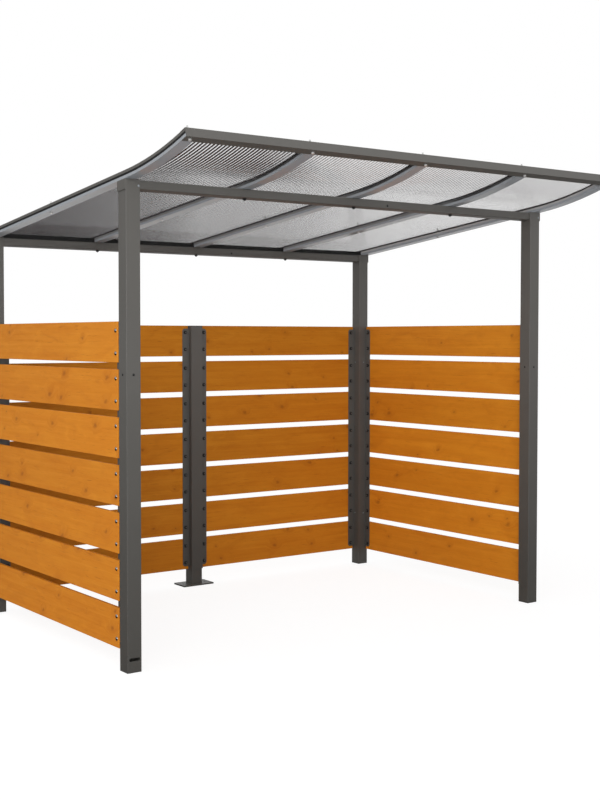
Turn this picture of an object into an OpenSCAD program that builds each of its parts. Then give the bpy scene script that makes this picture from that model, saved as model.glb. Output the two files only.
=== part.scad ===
// Open bike shelter: square steel posts, boarded side and rear walls,
// and a twin-wall sheet roof on bars that curve up towards the open front.
// Millimetres, +Z up. X runs across the shelter, Y from the open front to the rear wall.

/* [Posts] */
// Side of the square post tube
post_side = 70; // [60:1:90]
// Wall of the post tube
post_wall = 3; // [2:0.5:4]
// Outer corner radius of the post tube
post_round = 2; // [1:0.5:8]
// Inner corner radius of the post tube
post_inner_round = 1.5; // [0.5:0.5:5]
// Distance between corner post centres across the shelter
span_x = 2500; // [2200:10:2900]
// Distance between corner post centres from front to rear
span_y = 1468; // [1300:1:1800]
// Height of the roof bars' underside at the front posts' front faces
eaves_h = 2149; // [2000:1:2400]
// Thickness of the anchor plate in each post foot
foot_t = 8; // [5:1:12]
// Diameter of the anchor holes
anchor_d = 13; // [9:1:16]
// Width of the access slot in the foot of each corner post
slot_w = 54; // [40:1:56]
// Height of the access slot
slot_h = 14; // [10:1:20]
// Height of the slot's middle above the ground
slot_z = 58; // [40:1:80]

/* [Middle post] */
// Reach of the middle post behind the rear posts' rear faces
middle_reach = 25; // [0:1:40]
// Length of the middle post's base plate across the shelter
base_l = 205; // [160:5:260]
// Depth of the base plate from front to rear
base_w = 120; // [100:5:160]
// Thickness of the base plate
base_t = 8; // [6:1:12]
// Corner radius of the base plate
base_round = 4; // [2:1:20]
// Distance between the base plate's two anchor holes
base_hole_span = 150; // [120:5:170]

/* [Walls] */
// Number of boards in each wall
board_n = 7; // [4:1:7]
// Height of one board
board_h = 180; // [120:5:185]
// Thickness of a board
board_t = 18; // [15:1:24]
// Open gap between boards
board_gap = 30; // [10:1:35]
// Height of the lowest board above the ground
ground_gap = 95; // [80:5:120]
// Free space between a board's end and the post beside it
board_end_gap = 8; // [4:1:15]

/* [Brackets] */
// Sheet thickness of the wall brackets
bracket_t = 3; // [2:0.5:5]
// Reach of a bracket flange out from the post's face
flange_w = 47; // [42:1:70]
// Chamfer on the free corners of a flange
flange_chamfer = 10; // [4:1:30]
// Distance of a flange's ends from the top and bottom of the boards
flange_inset = 18; // [0:1:30]

/* [Beams] */
// Depth of the front and rear beams along the slope
beam_d = 50; // [30:1:55]
// Height of the beams across the slope
beam_h = 40; // [30:1:50]
// Wall of the beam tube
beam_wall = 2.5; // [2:0.5:3.5]
// Outer corner radius of the beam tube
beam_round = 4; // [4:0.5:8]
// Setback of the beams from the front posts' front faces and from the rear posts' rear faces
beam_setback = 12; // [0:1:18]
// Thickness of the end plates outside the posts
end_plate_t = 5; // [3:0.5:8]
// Height of the end plates
end_plate_h = 45; // [36:1:60]

/* [Roof] */
// Slope of the straight part of the roof, in degrees
roof_slope = 6; // [3:0.5:9]
// Slope at the front edge of the roof, in degrees
front_slope = 19.9; // [15:0.1:24]
// Radius of the roof's front curve at the underside of the bars
curve_radius = 2080; // [1600:10:2600]
// Where the curve starts, ahead of the front posts' front faces
curve_lead = 15; // [0:1:60]
// Reach of the roof bars behind the rear posts' rear faces
rear_reach = 30; // [0:1:80]
// Width of a roof bar
bar_w = 55; // [52:1:90]
// Height of a roof bar's hollow base
bar_h = 12.5; // [10:0.5:25]
// Wall of a roof bar
bar_wall = 2.5; // [1.5:0.5:3]
// Width of the web that stands up along the middle of an inner roof bar
web_w = 14; // [12:1:18]
// Height of the rubber seal under the sheets
seal_h = 10; // [4:1:12]
// Width of one rubber seal
seal_w = 15; // [8:1:18]
// Width of the clamp strip over an inner roof bar
clamp_w = 34; // [30:1:50]
// Thickness of the clamp strips
clamp_t = 2.5; // [2:0.5:5]

/* [Roof sheets] */
// Thickness of a twin-wall sheet
sheet_t = 10; // [8:1:16]
// Skin of a twin-wall sheet
sheet_skin = 0.8; // [0.6:0.1:1.2]
// Thickness of the ribs between the two skins
sheet_rib = 0.8; // [0.6:0.1:1.2]
// Spacing of the ribs
rib_pitch = 19; // [16:0.5:32]
// Expansion gap between a sheet's edge and the bar's web
sheet_gap = 3; // [1:0.5:6]
// Reach of the sheets behind the rear ends of the bars
sheet_reach = 20; // [18:1:60]

/* [Edge profiles] */
// Sheet thickness of the front fascia channel
fascia_t = 3; // [2:0.5:5]
// Depth of the fascia channel's flanges
fascia_d = 40; // [30:1:60]
// Sheet thickness of the rear edge profile
drip_t = 2; // [1:0.5:3]
// Depth of the rear edge profile over the sheets
drip_d = 16; // [12:1:18]
// Depth of the closing strips on the rear beam
closer_d = 25; // [10:1:30]
// Fitting clearance of the fascia at the roof's front ends and of bolts in their holes
fit = 0.3; // [0.1:0.1:1]

/* [Roof bolts] */
// Diameter of the bolts
bolt_d = 8; // [6:1:10]
// Diameter of the bolts' heads and nuts
head_d = 14; // [12:1:16]
// Height of a head or a nut
head_h = 6; // [4:0.5:8]
// Reach of a bolt's end above the face under its nut
bolt_reach = 21; // [10:1:30]
// Distance of the front bolts behind the front ends of the roof bars
front_bolt_y = 20; // [10:1:27]
// Distance of the middle bolts behind the front posts' front faces
middle_bolt_y = 785; // [300:5:1200]

/* [Hidden] */
$fn = 48;
// Facets of the large roof circles
curve_fn = 1440;
// Roof bars, named one by one below
bar_n = 5;
// Overshoot of a cut past the face that it opens
cut = 2;

// Plan lines, with Y counted from the front posts' front faces:
// post centres, outer faces, inner faces, the inner faces of the boards and the roof's outer edge
half_x = span_x / 2;
depth_y = span_y + post_side;
rear_y = depth_y - post_side / 2;
outer_x = half_x + post_side / 2;
inner_x = half_x - post_side / 2;
inner_y = depth_y - post_side;
board_x = outer_x - board_t;
board_y = depth_y - board_t;
edge_x = outer_x + end_plate_t;
// The middle post's centre and front face
middle_y = depth_y + middle_reach - post_side / 2;
middle_front = middle_y - post_side / 2;
wall_h = board_n * board_h + (board_n - 1) * board_gap;
wall_top = ground_gap + wall_h;

// Layers of the roof, measured square to the slope from the underside of the bars
seal_z = bar_h;
sheet_z = seal_z + seal_h;
clamp_z = sheet_z + sheet_t;
roof_t = clamp_z + clamp_t;

// Straight and curved lengths of the roof
curve_z = eaves_h + curve_lead * tan(roof_slope);
curve_angle = front_slope - roof_slope;
bar_l = (curve_lead + depth_y + rear_reach) / cos(roof_slope);
sheet_l = bar_l + sheet_reach;
front_beam_y = (curve_lead + beam_setback) / cos(roof_slope);
rear_beam_y = (curve_lead + depth_y - beam_setback) / cos(roof_slope) - beam_d;
middle_bolt_l = (curve_lead + middle_bolt_y) / cos(roof_slope);
hole_d = bolt_d + 2 * fit;
// Clear height in the fascia over the sheets, with room for the rise of the curve over its flanges
fascia_in = clamp_z + fit + fascia_d * fascia_d / (2 * (curve_radius - clamp_z));
// Reach of the fascia's flanges behind the front ends of the bars, and room for it in the clamps
fascia_reach = fascia_d - fascia_t - fit;
clamp_stop = fascia_reach + fit;

// Equal sheets side by side between the lips of the end clamps, with a bar's web in each joint
sheet_n = bar_n - 1;
sheet_joint = web_w + 2 * sheet_gap;
sheet_edge = edge_x - clamp_t - sheet_gap;
sheet_w = (2 * sheet_edge - (sheet_n - 1) * sheet_joint) / sheet_n;

// Front and rear reach of the whole shelter, and the shift that centres it over the origin
front_end = curve_lead + curve_radius * (sin(front_slope) - sin(roof_slope))
    + (fit + fascia_t) * cos(front_slope) + fascia_t * sin(front_slope);
roof_end = (sheet_l + drip_t) * cos(roof_slope) - curve_lead + (clamp_z + drip_t) * sin(roof_slope);
rear_end = max(roof_end, middle_y + base_w / 2);
shift_y = (front_end - rear_end) / 2;

steel = [0.36, 0.35, 0.33];
alloy = [0.62, 0.62, 0.63];
zinc = [0.55, 0.55, 0.54];
timber = [0.80, 0.48, 0.16];
clear_sheet = [0.72, 0.73, 0.76, 0.6];
seal_black = [0.08, 0.08, 0.08];

// Moves the shelter so that the origin lies on the ground under the middle of its box
module placed() {
    translate([0, shift_y, 0]) children();
}

// Frame of the roof: Y down the slope to the rear, Z square to the slope
module roof_frame() {
    translate([0, -curve_lead, curve_z]) rotate([-roof_slope, 0, 0]) children();
}

// Frame at the front ends of the bars: Y along the roof to the rear, Z square to it
module front_frame() {
    roof_frame() translate([0, 0, curve_radius]) rotate([-curve_angle, 0, 0])
        translate([0, 0, -curve_radius]) children();
}

// Extrudes an outline drawn in Y and Z along X
module along_x(x, w) {
    translate([x, 0, 0]) rotate([90, 0, 90]) linear_extrude(w) children();
}

module rounded_rectangle(w, d, r) {
    square([w - 2 * r, d], center = true);
    square([w, d - 2 * r], center = true);
    for (x = [-1, 1], y = [-1, 1])
        translate([x * (w / 2 - r), y * (d / 2 - r)]) circle(r);
}

module post_section() {
    rounded_rectangle(post_side, post_side, post_round);
}

module post_hollow() {
    rounded_rectangle(post_side - 2 * post_wall, post_side - 2 * post_wall, post_inner_round);
}

module slot_outline() {
    square([slot_w - slot_h, slot_h], center = true);
    for (s = [-1, 1]) translate([s * (slot_w - slot_h) / 2, 0]) circle(d = slot_h);
}

// Corner post cut to the roof slope, with an anchor plate in its foot and an access slot.
// The slot faces -Y before the post is turned.
module corner_post(x, y, turn) {
    blank_h = eaves_h + post_side;
    color(steel) placed() difference() {
        translate([x, y, 0]) rotate([0, 0, turn]) difference() {
            linear_extrude(blank_h) post_section();
            translate([0, 0, foot_t]) linear_extrude(blank_h) post_hollow();
            translate([0, 0, -cut]) cylinder(d = anchor_d, h = foot_t + 2 * cut);
            translate([0, (post_wall - post_side) / 2, slot_z]) rotate([90, 0, 0])
                linear_extrude(2 * post_wall, center = true) slot_outline();
        }
        roof_frame() translate([-span_x, -span_y, 0]) cube([2 * span_x, 3 * span_y, span_y]);
    }
}

module front_left_post() { corner_post(-half_x, post_side / 2, 0); }
module front_right_post() { corner_post(half_x, post_side / 2, 90); }
module rear_right_post() { corner_post(half_x, rear_y, 180); }
module rear_left_post() { corner_post(-half_x, rear_y, 270); }

// Middle post of the rear wall, closed at the top
module middle_post() {
    h = wall_top - base_t;
    color(steel) placed() translate([0, middle_y, base_t]) difference() {
        linear_extrude(h) post_section();
        translate([0, 0, -cut]) linear_extrude(h - post_wall + cut) post_hollow();
    }
}

module middle_base_plate() {
    color(steel) placed() translate([0, middle_y, 0]) difference() {
        linear_extrude(base_t) rounded_rectangle(base_l, base_w, base_round);
        for (s = [-1, 1])
            translate([s * base_hole_span / 2, 0, -cut]) cylinder(d = anchor_d, h = base_t + 2 * cut);
    }
}

// Side view of a flange from its root to its free edge, with both free corners chamfered
module flange_outline(root, tip) {
    c = flange_chamfer;
    d = sign(tip - root) * c;
    h = wall_h - 2 * flange_inset;
    translate([0, ground_gap + flange_inset]) polygon([
        [root, 0], [tip - d, 0], [tip, c],
        [tip, h - c], [tip - d, h], [root, h]
    ]);
}

// Flange that lies along X, its face towards the boards at y
module flange_x(root, tip, y) {
    translate([0, y, 0]) rotate([90, 0, 0]) linear_extrude(bracket_t) flange_outline(root, tip);
}

// Flange that lies along Y, its face towards the boards at x
module flange_y(root, tip, x) {
    along_x(x - bracket_t, bracket_t) flange_outline(root, tip);
}

// Upright strip of a bracket between two corners of its plan
module leg(x0, y0, x1, y1) {
    translate([x0, y0, ground_gap]) cube([x1 - x0, y1 - y0, wall_h]);
}

// Angle on the rear face of the right front post
module front_bracket() {
    leg(inner_x + post_round, post_side, board_x, post_side + bracket_t);
    flange_y(post_side, post_side + flange_w, board_x);
}

// Sheet folded round the inner corner of the right rear post
module rear_bracket() {
    flange_x(inner_x, inner_x - flange_w, board_y);
    leg(inner_x - bracket_t, inner_y - bracket_t, inner_x, board_y);
    leg(inner_x - bracket_t, inner_y - bracket_t, board_x, inner_y);
    flange_y(inner_y, inner_y - flange_w, board_x);
}

module front_right_bracket() { color(steel) placed() front_bracket(); }
module front_left_bracket() { color(steel) placed() mirror([1, 0, 0]) front_bracket(); }
module rear_right_bracket() { color(steel) placed() rear_bracket(); }
module rear_left_bracket() { color(steel) placed() mirror([1, 0, 0]) rear_bracket(); }

// Hat-shaped sheet round the middle post
module middle_bracket() {
    side = post_side / 2;
    color(steel) placed() {
        leg(-side - bracket_t, middle_front - bracket_t, side + bracket_t, middle_front);
        for (m = [0, 1]) mirror([m, 0, 0]) {
            leg(side, middle_front - bracket_t, side + bracket_t, board_y);
            flange_x(side, side + flange_w, board_y);
        }
    }
}

// One wall: a stack of level boards that fills a plan rectangle
module boards(x0, y0, x1, y1) {
    color(timber) placed() for (i = [0 : board_n - 1])
        translate([x0, y0, ground_gap + i * (board_h + board_gap)]) cube([x1 - x0, y1 - y0, board_h]);
}

module right_wall_boards() {
    boards(board_x, post_side + board_end_gap, outer_x, inner_y - board_end_gap);
}

module left_wall_boards() {
    boards(-outer_x, post_side + board_end_gap, -board_x, inner_y - board_end_gap);
}

module rear_right_boards() {
    boards(post_side / 2 + board_end_gap, board_y, inner_x - board_end_gap, depth_y);
}

module rear_left_boards() {
    boards(-inner_x + board_end_gap, board_y, -post_side / 2 - board_end_gap, depth_y);
}

// Beam tube between two posts, its top face on the underside of the roof bars, its front face at y
module beam(y) {
    color(steel) placed() roof_frame() along_x(-inner_x, 2 * inner_x)
        translate([y + beam_d / 2, -beam_h / 2]) difference() {
            rounded_rectangle(beam_d, beam_h, beam_round);
            rounded_rectangle(beam_d - 2 * beam_wall, beam_h - 2 * beam_wall, beam_round - beam_wall);
        }
}

module front_beam() { beam(front_beam_y); }
module rear_beam() { beam(rear_beam_y); }

// Pair of plates outside the posts, under the outer roof bars, from y to the post's rear face
module end_plates(y) {
    top = eaves_h - y * tan(roof_slope);
    drop = post_side * tan(roof_slope);
    color(steel) placed() for (m = [0, 1]) mirror([m, 0, 0]) along_x(outer_x, end_plate_t)
        translate([y, top]) polygon([
            [0, 0], [post_side, -drop],
            [post_side, -drop - end_plate_h], [0, -end_plate_h]
        ]);
}

module front_beam_plates() { end_plates(0); }
module rear_beam_plates() { end_plates(inner_y); }

// Side view of a roof layer: straight to the rear, curved up over an angle to the front
module layer_outline(low, high, rear, angle) {
    translate([0, low]) square([rear, high - low]);
    intersection() {
        translate([0, curve_radius]) difference() {
            circle(curve_radius - low, $fn = curve_fn);
            circle(curve_radius - high, $fn = curve_fn);
        }
        polygon([[0, curve_radius], [0, -curve_radius], [-2 * curve_radius * tan(angle), -curve_radius]]);
    }
}

// Strip of a roof layer that starts at x and is w wide
module layer(x, w, low, high, rear) {
    roof_frame() along_x(x, w) layer_outline(low, high, rear, curve_angle);
}

// The same, a little longer at both ends, for cutting a hollow right through
module layer_cut(x, w, low, high, rear) {
    roof_frame() along_x(x, w) layer_outline(low, high, rear + cut, curve_angle + atan(cut / curve_radius));
}

// Middle of a bar: the end bars lie at the roof's edges, the others under the joints of the sheets
function bar_x(i) = i == 1 ? bar_w / 2 - edge_x
    : i == bar_n ? edge_x - bar_w / 2
    : (i - 1 - sheet_n / 2) * (sheet_w + sheet_joint);

// Bolt holes at a bar, longer than the roof is thick
module front_hole(i) {
    front_frame() translate([bar_x(i), front_bolt_y, -roof_t / 2]) cylinder(d = hole_d, h = 2 * roof_t);
}

module middle_hole(i) {
    roof_frame() translate([bar_x(i), middle_bolt_l, -roof_t / 2]) cylinder(d = hole_d, h = 2 * roof_t);
}

module bolt_holes(i) {
    front_hole(i);
    middle_hole(i);
}

// Roof bar: a hollow base that carries the seals; an inner bar has a web that stands between the sheets
module bar(i) {
    x = bar_x(i);
    color(alloy) placed() difference() {
        union() {
            layer(x - bar_w / 2, bar_w, 0, bar_h, bar_l);
            if (i > 1 && i < bar_n)
                layer(x - web_w / 2, web_w, bar_h - bar_wall / 2, clamp_z, bar_l);
        }
        layer_cut(x - bar_w / 2 + bar_wall, bar_w - 2 * bar_wall, bar_wall, bar_h - bar_wall, bar_l);
        bolt_holes(i);
    }
}

// Two rubber strips along the edges of a roof bar
module seal(i) {
    x = bar_x(i);
    color(seal_black) placed() for (edge = [x - bar_w / 2, x + bar_w / 2 - seal_w])
        layer(edge, seal_w, seal_z, sheet_z, bar_l);
}

// Clamp strip over a roof bar that stops at the fascia; an end strip has a lip that closes the outer edge
module clamp(i) {
    left = i == 1 ? -edge_x : bar_x(i) - clamp_w / 2;
    right = i == bar_n ? edge_x : bar_x(i) + clamp_w / 2;
    w = right - left;
    lip_left = i == 1 ? clamp_t : -cut;
    lip_right = i == bar_n ? clamp_t : -cut;
    color(steel) placed() difference() {
        layer(left, w, sheet_z, roof_t, bar_l);
        layer_cut(left + lip_left, w - lip_left - lip_right, sheet_z - cut, clamp_z, bar_l);
        front_frame() translate([left - cut, -cut, clamp_z - fit])
            cube([w + 2 * cut, cut + clamp_stop, 2 * clamp_t]);
        middle_hole(i);
    }
}

// Twin-wall sheet: two skins joined by ribs that run down the slope;
// an end sheet is drilled for the end bar's bolts
module sheet(i) {
    x = -sheet_edge + (i - 1) * (sheet_w + sheet_joint);
    cell_n = round((sheet_w - sheet_rib) / rib_pitch);
    cell_pitch = (sheet_w - sheet_rib) / cell_n;
    color(clear_sheet) placed() difference() {
        layer(x, sheet_w, sheet_z, clamp_z, sheet_l);
        for (c = [0 : cell_n - 1])
            layer_cut(x + sheet_rib + c * cell_pitch, cell_pitch - sheet_rib,
                sheet_z + sheet_skin, clamp_z - sheet_skin, sheet_l);
        if (i == 1) bolt_holes(1);
        if (i == sheet_n) bolt_holes(bar_n);
    }
}

module bar_1() { bar(1); }
module bar_2() { bar(2); }
module bar_3() { bar(3); }
module bar_4() { bar(4); }
module bar_5() { bar(5); }
module seal_1() { seal(1); }
module seal_2() { seal(2); }
module seal_3() { seal(3); }
module seal_4() { seal(4); }
module seal_5() { seal(5); }
module sheet_1() { sheet(1); }
module sheet_2() { sheet(2); }
module sheet_3() { sheet(3); }
module sheet_4() { sheet(4); }
module clamp_1() { clamp(1); }
module clamp_2() { clamp(2); }
module clamp_3() { clamp(3); }
module clamp_4() { clamp(4); }
module clamp_5() { clamp(5); }

// Channel over the front ends of the bars and sheets
module fascia() {
    color(steel) placed() difference() {
        front_frame() along_x(-edge_x, 2 * edge_x) {
            translate([-fit - fascia_t, -fascia_t]) square([fascia_t, fascia_in + 2 * fascia_t]);
            for (z = [-fascia_t, fascia_in]) translate([-fit - fascia_t, z]) square([fascia_d, fascia_t]);
        }
        for (i = [1 : bar_n]) front_hole(i);
    }
}

// Channel over the rear ends of the sheets
module rear_edge() {
    color(steel) placed() roof_frame() along_x(-sheet_edge, 2 * sheet_edge) {
        translate([sheet_l, sheet_z - drip_t]) square([drip_t, sheet_t + 2 * drip_t]);
        for (z = [sheet_z - drip_t, clamp_z])
            translate([sheet_l + drip_t - drip_d, z]) square([drip_d, drip_t]);
    }
}

// Strips on the rear beam that close the space between the bars up to the sheets
module closing_strips() {
    color(seal_black) placed() roof_frame() for (i = [1 : sheet_n])
        translate([bar_x(i) + bar_w / 2, rear_beam_y, 0])
            cube([bar_x(i + 1) - bar_x(i) - bar_w, closer_d, sheet_z]);
}

// Bolt along Z: its head under one face, its nut on the other
module roof_bolt(under, over) {
    translate([0, 0, under - head_h]) cylinder(d = head_d, h = head_h);
    translate([0, 0, under - head_h / 2]) cylinder(d = bolt_d, h = head_h / 2 + over - under + bolt_reach);
    translate([0, 0, over]) cylinder(d = head_d, h = head_h);
}

// Bolts through the bars' front ends and the fascia's two flanges
module front_roof_bolts() {
    color(zinc) placed() front_frame() for (i = [1 : bar_n])
        translate([bar_x(i), front_bolt_y, 0]) roof_bolt(-fascia_t, fascia_in + fascia_t);
}

// Bolts through the bars and their clamps, half way down the roof
module middle_roof_bolts() {
    color(zinc) placed() roof_frame() for (i = [1 : bar_n])
        translate([bar_x(i), middle_bolt_l, 0]) roof_bolt(0, roof_t);
}

front_left_post();
front_right_post();
rear_left_post();
rear_right_post();
middle_post();
middle_base_plate();
front_left_bracket();
front_right_bracket();
rear_left_bracket();
rear_right_bracket();
middle_bracket();
left_wall_boards();
right_wall_boards();
rear_left_boards();
rear_right_boards();
front_beam();
rear_beam();
front_beam_plates();
rear_beam_plates();
bar_1();
bar_2();
bar_3();
bar_4();
bar_5();
seal_1();
seal_2();
seal_3();
seal_4();
seal_5();
sheet_1();
sheet_2();
sheet_3();
sheet_4();
clamp_1();
clamp_2();
clamp_3();
clamp_4();
clamp_5();
fascia();
rear_edge();
closing_strips();
front_roof_bolts();
middle_roof_bolts();
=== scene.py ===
# Looks of the bike shelter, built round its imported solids. Metres, +Z up.
import math
import random

import bmesh
import bpy
from mathutils import Matrix, Vector

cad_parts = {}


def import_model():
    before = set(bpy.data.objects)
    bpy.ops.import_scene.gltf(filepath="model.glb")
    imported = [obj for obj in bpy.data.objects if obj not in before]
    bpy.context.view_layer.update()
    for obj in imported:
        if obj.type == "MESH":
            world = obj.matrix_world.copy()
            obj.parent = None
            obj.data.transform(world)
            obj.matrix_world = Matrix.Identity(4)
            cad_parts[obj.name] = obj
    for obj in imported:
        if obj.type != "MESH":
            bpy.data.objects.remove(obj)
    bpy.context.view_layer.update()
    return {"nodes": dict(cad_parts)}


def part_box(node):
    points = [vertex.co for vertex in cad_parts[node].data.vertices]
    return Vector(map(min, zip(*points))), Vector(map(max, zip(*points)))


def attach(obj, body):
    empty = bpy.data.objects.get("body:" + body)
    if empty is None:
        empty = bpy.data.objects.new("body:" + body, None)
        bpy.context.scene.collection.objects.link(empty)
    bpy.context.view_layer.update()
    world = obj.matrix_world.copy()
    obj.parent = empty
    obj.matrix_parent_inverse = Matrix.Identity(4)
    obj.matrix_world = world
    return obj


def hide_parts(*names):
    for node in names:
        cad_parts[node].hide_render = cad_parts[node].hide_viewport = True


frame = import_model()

# Camera of the photograph: place, heading to the right of +Y, pitch, and framing
CAMERA_AT = (-3.8811, -5.2876, 1.4632)
CAMERA_YAW = 35.275
CAMERA_PITCH = -1.925
CAMERA_LENS = 56.0
CAMERA_SHIFT = (0.0371, -0.0254)

# Lamps: place and power of each, their common size and the point they aim at
LAMPS = {"key": ((-4.5, -9.0, 3.0), 250), "left": ((-7.2, -7.0, 3.5), 310)}
LAMP_SIZE = 6.0
LAMP_TARGET = (0, 0, 1.0)

# Light of the world: its turn to the rear, its reach and its lowest level
LIGHT_TURN = -0.4
LIGHT_REACH = 1.08
LIGHT_LOW = 0.10
# The world in mirrors: the turn to the left and rear over which it darkens, and its lowest level
MIRROR_TURN = (0.4, 1.2)
MIRROR_LOW = 0.35

# Floor: middle to edge, distance under the feet, and strength as seen and in mirrors
FLOOR_REACH = 30.0
FLOOR_DROP = 0.0005
FLOOR_SEEN = 0.88
FLOOR_MIRRORED = 0.76
# Where the floor grows bright in mirrors, to the rear and to the right
FLOOR_REAR = (0.5, 3.0)
FLOOR_RIGHT = (-1.0, 0.5)

# A line of sight through the roof passes many skins and ribs
TRANSPARENT_BOUNCES = 32

# Boards: number in a wall, gap, eased edge, range of grain offsets and spread of tones
BOARD_COUNT = 7
BOARD_GAP = 0.030
BOARD_EDGE = 0.003
BOARD_EDGE_STEPS = 3
GRAIN_RANGE = 40
TONE_SPREAD = 0.05

# Wall bolts: distance from the board's end and from its middle, and the flange under their nuts
BOLT_INSET = 0.021
BOLT_SPREAD = 0.050
FLANGE_T = 0.003

# Heights of the small fasteners on the posts, and how far the head bolts sit from the post's middle
SCREW_AT = 1.303
HEAD_BOLT_AT = 2.121
HEAD_BOLT_ASIDE = 0.028
RIVETS_AT = (0.330, 1.306)

# Beams lie with the roof's slope; each has one screw in its face, a little under the middle
ROOF_SLOPE = math.radians(6)
BEAM_D = 0.050
BEAM_H = 0.040
BEAM_SCREWS = {"front_beam": 0.200, "rear_beam": 0.235}
BEAM_SCREW_DROP = 0.006

# Roof curve on the bars' underside: start ahead of the posts and radius; the sheets' faces over it
CURVE_LEAD = 0.015
CURVE_RADIUS = 2.080
SHEET_LOW = 0.0225
SHEET_HIGH = 0.0325

# Where looks change: painted shade on the steel by height, ribs and the seals' painted light along the roof,
# the end seals' painted light by distance to the middle
STEEL_PAINTED_SHADE_HEIGHTS = (0.1, 1.35)
RIB_CHANGE = (-0.56, -0.80)
SEAL_PAINTED_LIGHT_CHANGE = (-0.62, -0.40)
END_SEAL_PAINTED_LIGHT = (0.7, 1.1)

# Knots: cells in a metre along and across the grain, slant and raggedness of the cells, draw that has a knot
KNOT_CELLS = (7.0, 9.5)
KNOT_SLANT = 2.5
KNOT_RAGGED = 0.22
KNOT_DRAW = (0.74, 0.76)

# How much a rib of the twin-wall sheet hides, by how slantwise it is seen: straight part and curved front
RIB_FLAT = [(0.30, 0.07), (0.346, 0.10), (0.382, 0.148), (0.43, 0.27), (0.472, 0.32), (0.50, 0.50),
            (0.53, 0.60), (0.58, 0.78), (0.70, 0.85)]
RIB_CURVED = [(0.25, 0.13), (0.316, 0.19), (0.374, 0.224), (0.395, 0.30), (0.437, 0.85)]
# Range of cover over which a rib's foot line grows wider and fainter, and range over which it is lost
FOOT_LINE = (0.09, 0.22)
NO_LINE = (0.30, 0.60)

# Colours; a pair is mixed by a pattern
STEEL = (0.091, 0.0865, 0.0785, 1), (0.102, 0.097, 0.0885, 1)
# Painted shade: the steel's colour near the ground
STEEL_PAINTED_SHADE = (0.050, 0.047, 0.041, 1)
ALLOY = (0.272, 0.293, 0.316, 1), (0.316, 0.337, 0.360, 1)
STAIN = (0.640, 0.233, 0.014, 1), (0.560, 0.178, 0.009, 1)
DARK_BLOTCH = (0.470, 0.138, 0.007, 1)
PALE_BLOTCH = (0.720, 0.285, 0.022, 1)
CLOUDED_STAIN = (0.560, 0.176, 0.008, 1)
FIBRE = (0.42, 0.125, 0.012, 1)
FLECK = (0.33, 0.085, 0.006, 1)
KNOT_HALO = (0.41, 0.115, 0.008, 1)
KNOT = (0.22, 0.055, 0.005, 1)
SHEET_SKIN = (0.19, 0.155, 0.160, 1)
SHEET_RIB = (0.024, 0.020, 0.022, 1)
ZINC = (0.52, 0.52, 0.51, 1), (0.66, 0.66, 0.65, 1)
BRIGHT_STEEL = (0.50, 0.50, 0.49, 1), (0.58, 0.58, 0.57, 1)
BLACK_STEEL = (0.010, 0.010, 0.010, 1), (0.018, 0.018, 0.018, 1)

STEEL_NODES = [
    "front_left_post", "front_right_post", "rear_left_post", "rear_right_post",
    "front_left_bracket", "front_right_bracket", "rear_left_bracket", "rear_right_bracket",
    "middle_post", "middle_base_plate", "middle_bracket",
    "front_beam", "rear_beam", "front_beam_plates", "rear_beam_plates", "fascia", "rear_edge",
]
BAR_COUNT = 5
BARS = [f"bar_{i}" for i in range(1, BAR_COUNT + 1)]
CLAMPS = [f"clamp_{i}" for i in range(1, BAR_COUNT + 1)]
SEALS = [f"seal_{i}" for i in range(1, BAR_COUNT + 1)]
SHEETS = [f"sheet_{i}" for i in range(1, BAR_COUNT)]
ROOF_BOLTS = ["front_roof_bolts", "middle_roof_bolts"]
# Walls, with the way their outer face looks, and the painted light and shade on each wall's boards: lighter
# on the side walls, darker on the rear
WALLS = {
    "left_wall_boards": Vector((-1, 0, 0)),
    "right_wall_boards": Vector((1, 0, 0)),
    "rear_left_boards": Vector((0, 1, 0)),
    "rear_right_boards": Vector((0, 1, 0)),
}
WALL_PAINTED_LIGHT_AND_SHADE = {
    "left_wall_boards": 1.04,
    "right_wall_boards": 1.09,
    "rear_left_boards": 0.97,
    "rear_right_boards": 0.92,
}


# Materials

def grey(level):
    return (level, level, level, 1)


class Nodes:
    """Short ways to add and link the nodes of a tree."""

    def __init__(self, tree):
        self.tree = tree

    def put(self, socket, value):
        if isinstance(value, bpy.types.NodeSocket):
            self.tree.links.new(value, socket)
        else:
            socket.default_value = value

    def add(self, kind, inputs=None, **settings):
        made = self.tree.nodes.new(kind)
        for name, value in settings.items():
            setattr(made, name, value)
        for socket, value in (inputs or {}).items():
            self.put(made.inputs[socket], value)
        return made

    def math(self, operation, a, b=0.0):
        return self.add("ShaderNodeMath", {0: a, 1: b}, operation=operation).outputs[0]

    def parts(self, vector):
        """X, Y and Z of a vector."""
        return self.add("ShaderNodeSeparateXYZ", {0: vector}).outputs

    def fit(self, value, low, high, to_low=0.0, to_high=1.0):
        """Moves a value from one range to another and keeps it there."""
        settings = {"Value": value, "From Min": low, "From Max": high, "To Min": to_low, "To Max": to_high}
        return self.add("ShaderNodeMapRange", settings, clamp=True).outputs[0]

    def between(self, share, a, b):
        """Number between two numbers."""
        return self.add("ShaderNodeMix", {"Factor": share, 2: a, 3: b}, data_type="FLOAT").outputs[0]

    def mix(self, share, a, b):
        """Colour between two colours."""
        return self.add("ShaderNodeMix", {"Factor": share, 6: a, 7: b}, data_type="RGBA").outputs[2]


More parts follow.
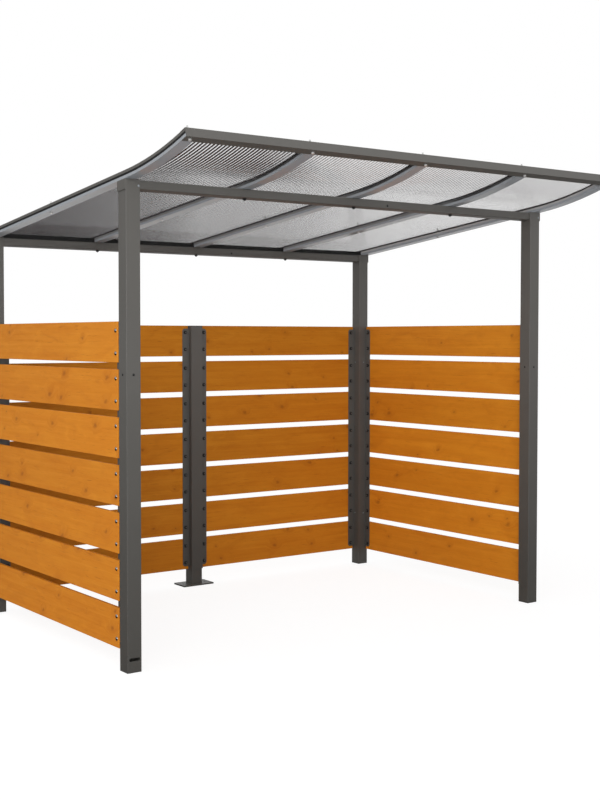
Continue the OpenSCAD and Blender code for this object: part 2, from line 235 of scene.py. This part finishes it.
class Shader(Nodes):
    """A material, its surface and the patterns that materials use."""

    def __init__(self, name):
        self.material = bpy.data.materials.new(name)
        self.material.use_nodes = True
        super().__init__(self.material.node_tree)
        self.surface = self.tree.nodes["Principled BSDF"]

    def set(self, **values):
        for name, value in values.items():
            self.put(self.surface.inputs[name.replace("_", " ")], value)

    def position(self):
        return self.add("ShaderNodeTexCoord").outputs["Object"]

    def normal(self):
        return self.parts(self.add("ShaderNodeNewGeometry").outputs["Normal"])

    def attribute(self, name):
        return self.add("ShaderNodeAttribute", attribute_name=name)

    def scaled(self, vector, scale):
        return self.add("ShaderNodeVectorMath", {0: vector, 1: scale}, operation="MULTIPLY").outputs[0]

    def noise(self, vector, scale, detail=4.0, roughness=0.55, distortion=0.0):
        settings = {"Vector": vector, "Scale": scale, "Detail": detail, "Roughness": roughness,
                    "Distortion": distortion}
        return self.add("ShaderNodeTexNoise", settings).outputs["Fac"]

    def ramp(self, value, stops):
        """Level by a list of (place, level) stops."""
        made = self.add("ShaderNodeValToRGB", {"Fac": value})
        points = made.color_ramp.elements
        while len(points) < len(stops):
            points.new(1.0)
        for point, (at, level) in zip(points, stops):
            point.position = at
            point.color = grey(level)
        return made.outputs["Color"]

    def bump(self, height, strength, distance):
        settings = {"Height": height, "Strength": strength, "Distance": distance}
        self.put(self.surface.inputs["Normal"], self.add("ShaderNodeBump", settings).outputs[0])

    def under(self, open_side, underside):
        """One level for undersides and another for all other faces."""
        return self.fit(self.normal()[2], -0.5, -0.9, open_side, underside)


def painted_steel():
    """Satin paint with a fine peel, and painted shade that darkens it towards the ground."""
    shader = Shader("painted_steel")
    place = shader.position()
    cloud = shader.noise(place, 3.0, 3.0)
    peel = shader.noise(place, 900.0, 2.0)
    # Painted shade: the steel grows darker towards the ground, by height
    low = shader.fit(shader.parts(place)[2], *STEEL_PAINTED_SHADE_HEIGHTS, 0.70, 0.0)
    shader.set(Base_Color=shader.mix(low, shader.mix(cloud, *STEEL), STEEL_PAINTED_SHADE))
    shader.set(Roughness=shader.fit(cloud, 0.3, 0.7, 0.44, 0.51), Specular_IOR_Level=shader.under(0.68, 0.15))
    shader.bump(peel, 0.08, 0.0004)
    return shader.material


def roof_alloy():
    """Light grey coat over bars drawn lengthwise."""
    shader = Shader("roof_bar")
    place = shader.position()
    drawn = shader.noise(shader.scaled(place, (900.0, 6.0, 900.0)), 1.0, 2.0)
    cloud = shader.noise(place, 4.0, 2.0)
    shader.set(Base_Color=shader.mix(cloud, *ALLOY))
    shader.set(Roughness=shader.fit(drawn, 0.3, 0.7, 0.18, 0.26), Specular_IOR_Level=shader.under(0.8, 0.25))
    shader.bump(drawn, 0.05, 0.0002)
    return shader.material


def stained_timber():
    """Stained softwood with growth lines along the board, flecks and knots."""
    shader = Shader("timber")
    grain = shader.attribute("grain").outputs["Vector"]
    tone_and_painted_light = shader.attribute("tone_and_painted_light").outputs["Fac"]
    # Knots sit in some of the cells of a slanted Voronoi pattern, with ragged outlines
    run, rise, _ = shader.parts(grain)
    ragged = shader.noise(shader.scaled(grain, (40.0, 70.0, 70.0)), 1.0, 3.0)
    cell_run = shader.math("MULTIPLY", run, KNOT_CELLS[0])
    cell_run = shader.math("ADD", cell_run, shader.math("MULTIPLY", rise, KNOT_SLANT))
    cell_run = shader.math("ADD", cell_run, shader.math("MULTIPLY", ragged, KNOT_RAGGED))
    cell_rise = shader.math("MULTIPLY", rise, KNOT_CELLS[1])
    cell = shader.add("ShaderNodeCombineXYZ", {0: cell_run, 1: cell_rise}).outputs[0]
    voronoi = shader.add("ShaderNodeTexVoronoi", {"Vector": cell, "Scale": 1.0, "Randomness": 1.0},
                         voronoi_dimensions="2D")
    draw = shader.add("ShaderNodeSeparateColor", {"Color": voronoi.outputs["Color"]}).outputs
    has_knot = shader.fit(draw[0], *KNOT_DRAW)
    size = shader.fit(draw[1], 0.0, 1.0, 0.5, 1.7)
    distance = shader.math("DIVIDE", voronoi.outputs["Distance"], size)
    knot = shader.math("MULTIPLY", shader.fit(distance, 0.020, 0.090, 1.0, 0.0), has_knot)
    halo = shader.math("MULTIPLY", shader.fit(distance, 0.05, 0.32, 1.0, 0.0), has_knot)
    # Growth lines run along the board and part round the knots
    swell = shader.add("ShaderNodeCombineXYZ", {1: shader.math("MULTIPLY", halo, 0.05)}).outputs[0]
    bent = shader.add("ShaderNodeVectorMath", {0: grain, 1: swell}, operation="ADD").outputs[0]
    streak = shader.noise(shader.scaled(bent, (1.6, 42.0, 42.0)), 1.0, 5.0, 0.6, 0.6)
    fibre = shader.noise(shader.scaled(bent, (14.0, 420.0, 420.0)), 1.0, 3.0)
    fleck = shader.noise(shader.scaled(bent, (11.0, 150.0, 150.0)), 1.0, 2.0)
    cloud = shader.noise(shader.scaled(grain, (1.1, 5.0, 5.0)), 1.0, 3.0)
    blotch = shader.noise(shader.scaled(grain, (6.0, 16.0, 16.0)), 1.0, 4.0, 0.6, 0.8)
    base = shader.mix(shader.fit(streak, 0.35, 0.72), *STAIN)
    base = shader.mix(shader.fit(blotch, 0.52, 0.78, 0.0, 0.55), base, DARK_BLOTCH)
    base = shader.mix(shader.fit(blotch, 0.46, 0.28, 0.0, 0.35), base, PALE_BLOTCH)
    base = shader.mix(shader.fit(cloud, 0.35, 0.75, 0.0, 0.45), base, CLOUDED_STAIN)
    base = shader.mix(shader.fit(fibre, 0.5, 0.75, 0.0, 0.22), base, FIBRE)
    base = shader.mix(shader.fit(fleck, 0.64, 0.74, 0.0, 0.45), base, FLECK)
    base = shader.mix(shader.math("MULTIPLY", halo, 0.32), base, KNOT_HALO)
    base = shader.mix(shader.math("MULTIPLY", knot, 0.50), base, KNOT)
    # Each board's random tone, with its wall's painted light and shade
    shade = shader.add("ShaderNodeHueSaturation", {"Color": base, "Value": tone_and_painted_light})
    shader.set(Base_Color=shade.outputs[0], Roughness=shader.fit(streak, 0.3, 0.7, 0.52, 0.64))
    shader.set(Specular_IOR_Level=0.15)
    shader.bump(shader.math("ADD", streak, shader.math("MULTIPLY", fibre, 0.5)), 0.16, 0.0008)
    return shader.material


def sheet_level(shader, along, high):
    """Height in a sheet, 0 at its lower face and 1 at its upper, from its distance to slope or curve."""
    post_low, post_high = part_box("front_left_post")
    sine, cosine = math.sin(ROOF_SLOPE), math.cos(ROOF_SLOPE)
    dy = shader.math("SUBTRACT", along, post_low.y - CURVE_LEAD)
    dz = shader.math("SUBTRACT", high, post_high.z + CURVE_LEAD * math.tan(ROOF_SLOPE))
    run = shader.math("SUBTRACT", shader.math("MULTIPLY", dy, cosine), shader.math("MULTIPLY", dz, sine))
    on_slope = shader.math("ADD", shader.math("MULTIPLY", dy, sine), shader.math("MULTIPLY", dz, cosine))
    axis_y = shader.math("SUBTRACT", dy, CURVE_RADIUS * sine)
    axis_z = shader.math("SUBTRACT", dz, CURVE_RADIUS * cosine)
    to_axis = shader.add("ShaderNodeCombineXYZ", {1: axis_y, 2: axis_z}).outputs[0]
    reach = shader.add("ShaderNodeVectorMath", {0: to_axis}, operation="LENGTH").outputs["Value"]
    on_curve = shader.math("SUBTRACT", CURVE_RADIUS, reach)
    ahead = shader.math("LESS_THAN", run, 0.0)
    return shader.fit(shader.between(ahead, on_slope, on_curve), SHEET_LOW, SHEET_HIGH)


def clear_sheet():
    """Clear twin-wall sheet: thin skins, and ribs that hide more the more slantwise they are seen."""
    shader = Shader("clear_sheet")
    rib = shader.fit(shader.math("ABSOLUTE", shader.normal()[0]), 0.5, 0.9)
    slant = shader.add("ShaderNodeLayerWeight", {"Blend": 0.5}).outputs["Facing"]
    _, along, high = shader.parts(shader.position())
    curved = shader.fit(along, *RIB_CHANGE)
    skin_cover = shader.fit(slant, 0.55, 0.85, 0.065, 0.096)
    rib_cover = shader.between(curved, shader.ramp(slant, RIB_FLAT), shader.ramp(slant, RIB_CURVED))
    # A rib that hides little hides more at its foot, which shows as a line
    foot_height = shader.fit(rib_cover, *FOOT_LINE, 0.20, 0.50)
    foot = shader.math("LESS_THAN", sheet_level(shader, along, high), foot_height)
    lines = shader.between(foot, 0.5, shader.fit(rib_cover, *FOOT_LINE, 3.0, 1.5))
    lines = shader.between(shader.fit(rib_cover, *NO_LINE), lines, 1.0)
    rib_cover = shader.math("MULTIPLY", rib_cover, lines)
    shader.set(Base_Color=shader.mix(rib, SHEET_SKIN, SHEET_RIB))
    shader.set(Alpha=shader.between(rib, skin_cover, rib_cover), Roughness=0.10)
    return shader.material


def rubber(name, front, behind, inward_painted_light=None):
    """Levels at the curved front and over the straight part, where a paler level is painted light, and the
    painted light on end seals' faces towards the middle.
    """
    shader = Shader(name)
    place = shader.position()
    speck = shader.noise(place, 600.0, 2.0)
    across, along, _ = shader.parts(place)
    # Painted light: a seal can be paler behind the curved front than at it
    base = shader.mix(shader.fit(along, *SEAL_PAINTED_LIGHT_CHANGE), grey(front), grey(behind))
    if inward_painted_light is not None:
        # Painted light: end seals paler on their faces towards the middle
        outward = shader.math("MULTIPLY", across, shader.normal()[0])
        painted_light_mask = shader.fit(shader.math("MULTIPLY", outward, -1.0), *END_SEAL_PAINTED_LIGHT)
        base = shader.mix(painted_light_mask, base, grey(inward_painted_light))
    shader.set(Base_Color=shader.mix(shader.math("MULTIPLY", speck, 0.2), base, grey(0)))
    shader.set(Roughness=shader.fit(speck, 0.3, 0.7, 0.55, 0.7), Specular_IOR_Level=0.3)
    shader.bump(speck, 0.1, 0.0003)
    return shader.material


def zinc():
    shader = Shader("zinc")
    spangle = shader.noise(shader.position(), 420.0, 3.0)
    shader.set(Base_Color=shader.mix(spangle, *ZINC))
    shader.set(Metallic=0.3, Roughness=shader.fit(spangle, 0.3, 0.7, 0.16, 0.30))
    return shader.material


def bright_head():
    shader = Shader("bright_head")
    wear = shader.noise(shader.position(), 300.0, 3.0)
    shader.set(Base_Color=shader.mix(wear, *BRIGHT_STEEL))
    shader.set(Metallic=1.0, Roughness=shader.fit(wear, 0.3, 0.7, 0.05, 0.10))
    return shader.material


def black_nut():
    shader = Shader("black_nut")
    wear = shader.noise(shader.position(), 300.0, 3.0)
    shader.set(Base_Color=shader.mix(wear, *BLACK_STEEL))
    shader.set(Roughness=shader.fit(wear, 0.3, 0.7, 0.42, 0.52), Specular_IOR_Level=0.35)
    return shader.material


MATERIALS = {
    "painted_steel": painted_steel(),
    "roof_bar": roof_alloy(),
    "timber": stained_timber(),
    "clear_sheet": clear_sheet(),
    # Black rubber; the end seals' pale faces towards the middle are painted light
    "seal": rubber("seal", front=0.011, behind=0.011, inward_painted_light=0.42),
    # Painted light: the inner seals paler behind the curved front
    "inner_seal_painted_light": rubber("inner_seal_painted_light", front=0.050, behind=0.200),
    "zinc": zinc(),
    "bright_head": bright_head(),
    "black_nut": black_nut(),
}


def dress_node(name, material):
    """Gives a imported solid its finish."""
    slots = frame["nodes"][name].data.materials
    slots.clear()
    slots.append(MATERIALS[material])


for name in STEEL_NODES + CLAMPS:
    dress_node(name, "painted_steel")
for name in BARS:
    dress_node(name, "roof_bar")
for name in (SEALS[0], SEALS[-1], "closing_strips"):
    dress_node(name, "seal")
for name in SEALS[1:-1]:
    dress_node(name, "inner_seal_painted_light")
for name in SHEETS:
    dress_node(name, "clear_sheet")
for name in ROOF_BOLTS:
    dress_node(name, "zinc")


# Pieces

def finish_piece(name, mesh, material, replaces=()):
    """Turns a bmesh into a piece of the shelter."""
    data = bpy.data.meshes.new(name)
    mesh.to_mesh(data)
    mesh.free()
    piece = bpy.data.objects.new(name, data)
    bpy.context.scene.collection.objects.link(piece)
    data.materials.append(MATERIALS[material])
    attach(piece, "root")
    if replaces:
        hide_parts(*replaces)


def board_rows(low, high):
    """Height of a wall's boards, and the middle height of each board from the lowest up."""
    height = (high.z - low.z - (BOARD_COUNT - 1) * BOARD_GAP) / BOARD_COUNT
    return height, [low.z + i * (height + BOARD_GAP) + height / 2 for i in range(BOARD_COUNT)]


def board_wall(node, outward, seed):
    """Boards with eased edges that stand for a wall's plain solids."""
    draw = random.Random(seed)
    low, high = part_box(node)
    along = 1 if abs(outward.x) > 0.5 else 0
    height, rows = board_rows(low, high)
    size = Vector((high.x - low.x, high.y - low.y, height))
    mesh = bmesh.new()
    grain = mesh.verts.layers.float_vector.new("grain")
    tone_and_painted_light = mesh.verts.layers.float.new("tone_and_painted_light")
    for z in rows:
        middle = Vector(((low.x + high.x) / 2, (low.y + high.y) / 2, z))
        board = bmesh.new()
        bmesh.ops.create_cube(board, size=1.0)
        bmesh.ops.scale(board, vec=size, verts=board.verts)
        bmesh.ops.bevel(board, geom=board.edges[:], offset=BOARD_EDGE, segments=BOARD_EDGE_STEPS,
                        profile=0.5, affect="EDGES")
        offset = Vector([draw.uniform(0, GRAIN_RANGE) for _ in range(3)])
        # Painted light and shade of the wall, and a random tone for the board
        shade = WALL_PAINTED_LIGHT_AND_SHADE[node] + draw.uniform(-TONE_SPREAD, TONE_SPREAD)
        made = {}
        for v in board.verts:
            new = mesh.verts.new(v.co + middle)
            new[grain] = Vector((v.co[along], v.co.z, v.co[1 - along])) + offset
            new[tone_and_painted_light] = shade
            made[v.index] = new
        for face in board.faces:
            mesh.faces.new([made[v.index] for v in face.verts])
        board.free()
    finish_piece(node.replace("_boards", "_timber"), mesh, "timber", [node])


for seed, (node, outward) in enumerate(WALLS.items()):
    board_wall(node, outward, seed)


def revolve(mesh, profile, place, steps=20, smooth=True):
    """Adds a turned form: profile holds (radius, height) pairs along the place's local Z."""
    rings = []
    for radius, height in profile:
        ring = []
        for k in range(steps if radius > 0 else 1):
            angle = 2 * math.pi * k / steps
            point = Vector((radius * math.cos(angle), radius * math.sin(angle), height))
            ring.append(mesh.verts.new(place @ point))
        rings.append(ring)
    for a, b in zip(rings, rings[1:]):
        for k in range(steps):
            j = (k + 1) % steps
            corners = [a[k % len(a)], a[j % len(a)], b[j % len(b)], b[k % len(b)]]
            corners = list(dict.fromkeys(corners))
            if len(corners) > 2:
                face = mesh.faces.new(corners)
                face.smooth = smooth


def facing(point, direction):
    """Local frame at a point with +Z along a direction."""
    return Matrix.Translation(point) @ direction.to_track_quat("Z", "Y").to_matrix().to_4x4()


def dome(radius, height, steps=5):
    """Profile of a dome head from its base to its crown."""
    ball = (radius ** 2 + height ** 2) / (2 * height)
    top = math.asin(radius / ball)
    angles = [top * (1 - k / steps) for k in range(steps)]
    arc = [(ball * math.sin(angle), ball * math.cos(angle) - ball + height) for angle in angles]
    return [(0.0, 0.0)] + arc + [(0.0, height)]


# Profiles of the fasteners: dome heads, a flanged nut and the bolt's end that stands out of it
DOME = dome(0.0100, 0.0049)
SMALL_DOME = dome(0.0058, 0.0030)
SCREW = dome(0.0058, 0.0028)
RIVET = dome(0.0040, 0.0020)
NUT = [(0.0, 0.0), (0.0112, 0.0), (0.0112, 0.0018), (0.0095, 0.0018), (0.0095, 0.0065), (0.0080, 0.0075),
       (0.0, 0.0075)]
NUT_SIDES = 6
BOLT_END = [(0.0, 0.007), (0.0042, 0.007), (0.0042, 0.0100), (0.0034, 0.0108), (0.0, 0.0108)]
BOLT_END_SIDES = 10


def wall_bolts():
    """Dome bolts outside the boards and their nuts inside the flanges."""
    heads, nuts, ends = bmesh.new(), bmesh.new(), bmesh.new()
    for node, outward in WALLS.items():
        low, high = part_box(node)
        along = Vector((0, 1, 0)) if abs(outward.x) > 0.5 else Vector((1, 0, 0))
        middle = (low + high) / 2
        half_length = abs((high - low).dot(along)) / 2 - BOLT_INSET
        half_depth = abs((high - low).dot(outward)) / 2
        _, rows = board_rows(low, high)
        for z in rows:
            for end in (-1, 1):
                for side in (-1, 1):
                    line = Vector((middle.x, middle.y, z + side * BOLT_SPREAD)) + along * end * half_length
                    revolve(heads, DOME, facing(line + outward * half_depth, outward))
                    seat = facing(line - outward * (half_depth + FLANGE_T), -outward)
                    revolve(nuts, NUT, seat, NUT_SIDES, False)
                    revolve(ends, BOLT_END, seat, BOLT_END_SIDES, False)
    finish_piece("wall_bolt_heads", heads, "bright_head")
    finish_piece("wall_nuts", nuts, "black_nut")
    finish_piece("wall_bolt_ends", ends, "painted_steel")


def post_screws():
    """Dark screws and light head bolts in the front posts, and light rivets in the rear brackets."""
    screws, bolts = bmesh.new(), bmesh.new()
    ahead = Vector((0, -1, 0))
    for node in ("front_left_post", "front_right_post"):
        low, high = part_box(node)
        middle = (low + high) / 2
        revolve(screws, SCREW, facing(Vector((middle.x, low.y, SCREW_AT)), ahead))
        revolve(screws, SCREW, facing(Vector((low.x, middle.y, SCREW_AT)), Vector((-1, 0, 0))))
        revolve(bolts, SMALL_DOME, facing(Vector((middle.x + HEAD_BOLT_ASIDE, low.y, HEAD_BOLT_AT)), ahead))
    for node, side in (("rear_left_post", 1), ("rear_right_post", -1)):
        low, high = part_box(node)
        middle = (low + high) / 2
        edge = high.x + FLANGE_T if side > 0 else low.x - FLANGE_T
        for z in RIVETS_AT:
            revolve(bolts, RIVET, facing(Vector((middle.x, low.y - FLANGE_T, z)), ahead))
            revolve(bolts, RIVET, facing(Vector((edge, middle.y, z)), Vector((side, 0, 0))))
    finish_piece("post_screws", screws, "black_nut")
    finish_piece("post_rivets", bolts, "roof_bar")


def beam_bolts():
    """Nuts and bolt ends under both beams at the inner bars, and one screw in each beam's face."""
    nuts = bmesh.new()
    up = Vector((0, math.sin(ROOF_SLOPE), math.cos(ROOF_SLOPE)))
    ahead = Vector((0, -math.cos(ROOF_SLOPE), math.sin(ROOF_SLOPE)))
    for node, screw_x in BEAM_SCREWS.items():
        low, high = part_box(node)
        middle = (low + high) / 2
        for bar in BARS[1:-1]:
            bar_low, bar_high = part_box(bar)
            under_bar = Vector(((bar_low.x + bar_high.x) / 2, middle.y, middle.z))
            seat = facing(under_bar - up * BEAM_H / 2, -up)
            revolve(nuts, NUT, seat, NUT_SIDES, False)
            revolve(nuts, BOLT_END, seat, BOLT_END_SIDES, False)
        on_face = Vector((screw_x, middle.y, middle.z)) + ahead * BEAM_D / 2 - up * BEAM_SCREW_DROP
        revolve(nuts, SCREW, facing(on_face, ahead))
    finish_piece("beam_nuts", nuts, "black_nut")


wall_bolts()
post_screws()
beam_bolts()


# Stage, light and camera

def floor():
    """White for the eye; pale as a source of light; in mirrors dark, but bright behind on the right."""
    mesh = bmesh.new()
    bmesh.ops.create_grid(mesh, x_segments=1, y_segments=1, size=FLOOR_REACH)
    data = bpy.data.meshes.new("floor")
    mesh.to_mesh(data)
    mesh.free()
    made = bpy.data.objects.new("floor", data)
    made.location.z = -FLOOR_DROP
    bpy.context.scene.collection.objects.link(made)
    shader = Shader("floor")
    rays = shader.add("ShaderNodeLightPath").outputs
    seen = shader.math("MAXIMUM", rays["Is Camera Ray"], rays["Is Transmission Ray"])
    x, y, _ = shader.parts(shader.position())
    bright = shader.math("MULTIPLY", shader.fit(y, *FLOOR_REAR), shader.fit(x, *FLOOR_RIGHT))
    mirrored = shader.math("MULTIPLY", rays["Is Glossy Ray"], shader.math("MULTIPLY", bright, FLOOR_MIRRORED))
    pale = shader.mix(seen, grey(0.80), grey(0.22))
    shader.set(Base_Color=shader.mix(rays["Is Glossy Ray"], pale, grey(0.05)))
    shader.set(Roughness=0.9, Specular_IOR_Level=0.0, Emission_Color=grey(1))
    shader.set(Emission_Strength=shader.math("ADD", shader.math("MULTIPLY", seen, FLOOR_SEEN), mirrored))
    data.materials.append(shader.material)


def world():
    """White for the eye; as light, brightest from the left; in mirrors, less bright to the left and rear."""
    made = bpy.data.worlds.new("studio")
    made.use_nodes = True
    bpy.context.scene.world = made
    nodes = Nodes(made.node_tree)
    rays = nodes.add("ShaderNodeLightPath").outputs
    x, y, _ = nodes.parts(nodes.add("ShaderNodeTexCoord").outputs["Generated"])
    tilt = nodes.add("ShaderNodeMath", {0: y, 1: LIGHT_TURN, 2: x}, operation="MULTIPLY_ADD").outputs[0]
    light = nodes.fit(tilt, -LIGHT_REACH, LIGHT_REACH, 1.0, LIGHT_LOW)
    mirror = nodes.fit(nodes.math("SUBTRACT", y, x), *MIRROR_TURN, 1.0, MIRROR_LOW)
    seen = nodes.math("MAXIMUM", rays["Is Camera Ray"], rays["Is Transmission Ray"])
    level = nodes.between(seen, nodes.between(rays["Is Glossy Ray"], light, mirror), 1.0)
    background = nodes.tree.nodes["Background"]
    nodes.put(background.inputs["Color"], grey(1))
    nodes.put(background.inputs["Strength"], level)


def lamp(name, place, power):
    data = bpy.data.lights.new(name, "AREA")
    data.shape = "DISK"
    data.size = LAMP_SIZE
    data.energy = power
    made = bpy.data.objects.new(name, data)
    made.location = place
    made.rotation_euler = (Vector(LAMP_TARGET) - Vector(place)).to_track_quat("-Z", "Y").to_euler()
    bpy.context.scene.collection.objects.link(made)


def camera():
    data = bpy.data.cameras.new("camera")
    data.lens = CAMERA_LENS
    data.shift_x, data.shift_y = CAMERA_SHIFT
    made = bpy.data.objects.new("camera", data)
    made.location = CAMERA_AT
    made.rotation_euler = (math.radians(90 + CAMERA_PITCH), 0, math.radians(-CAMERA_YAW))
    bpy.context.scene.collection.objects.link(made)
    bpy.context.scene.camera = made


floor()
world()
for name, (place, power) in LAMPS.items():
    lamp(name, place, power)
camera()
bpy.context.scene.view_settings.view_transform = "Standard"
bpy.context.scene.cycles.transparent_max_bounces = TRANSPARENT_BOUNCES
